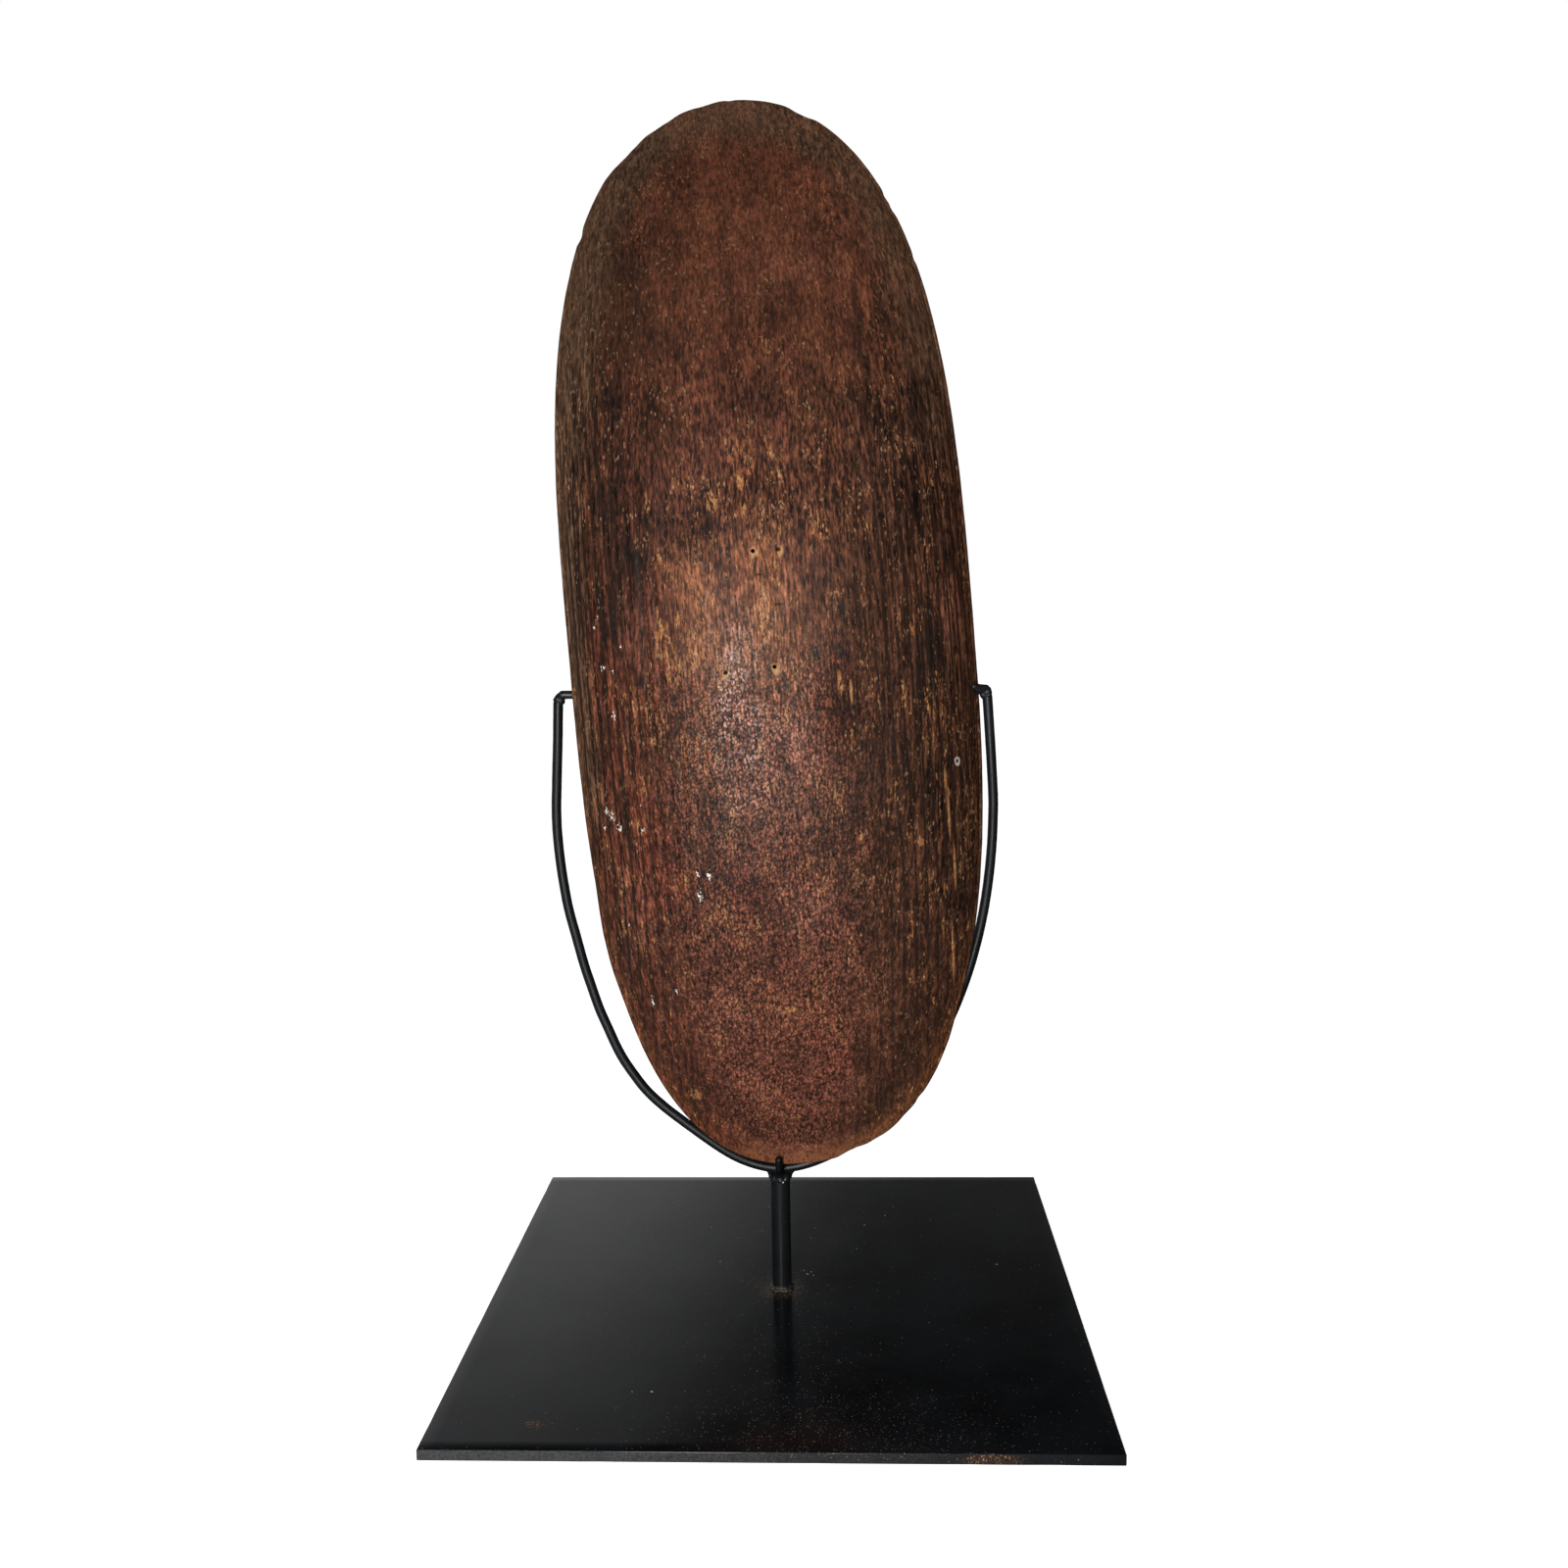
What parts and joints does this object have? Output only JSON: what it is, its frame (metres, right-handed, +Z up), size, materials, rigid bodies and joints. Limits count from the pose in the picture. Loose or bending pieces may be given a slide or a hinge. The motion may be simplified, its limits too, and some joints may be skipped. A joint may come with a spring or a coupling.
{
  "type": "carved wooden shield on stand",
  "caption": "Long oval shield carved from wood, with a domed, fluted front and a grip cut into its back, standing upright in a welded iron cradle on a square plate.",
  "frame": {"origin": "centre of the base plate's underside", "axes": "+Z up along the shield's length, the shield's domed front faces -Y, +X to the right of someone who looks at the front"},
  "size_m": [0.381, 0.381, 0.7735],
  "materials": {
    "ochred_wood": "satin",
    "blackened_iron": "satin"
  },
  "bodies": {
    "root": {"shield": "ochred_wood", "base_plate": "blackened_iron", "post": "blackened_iron", "cradle_rod": "blackened_iron", "left_tip": "blackened_iron", "right_tip": "blackened_iron", "front_prong": "blackened_iron"}
  },
  "joints": []
}
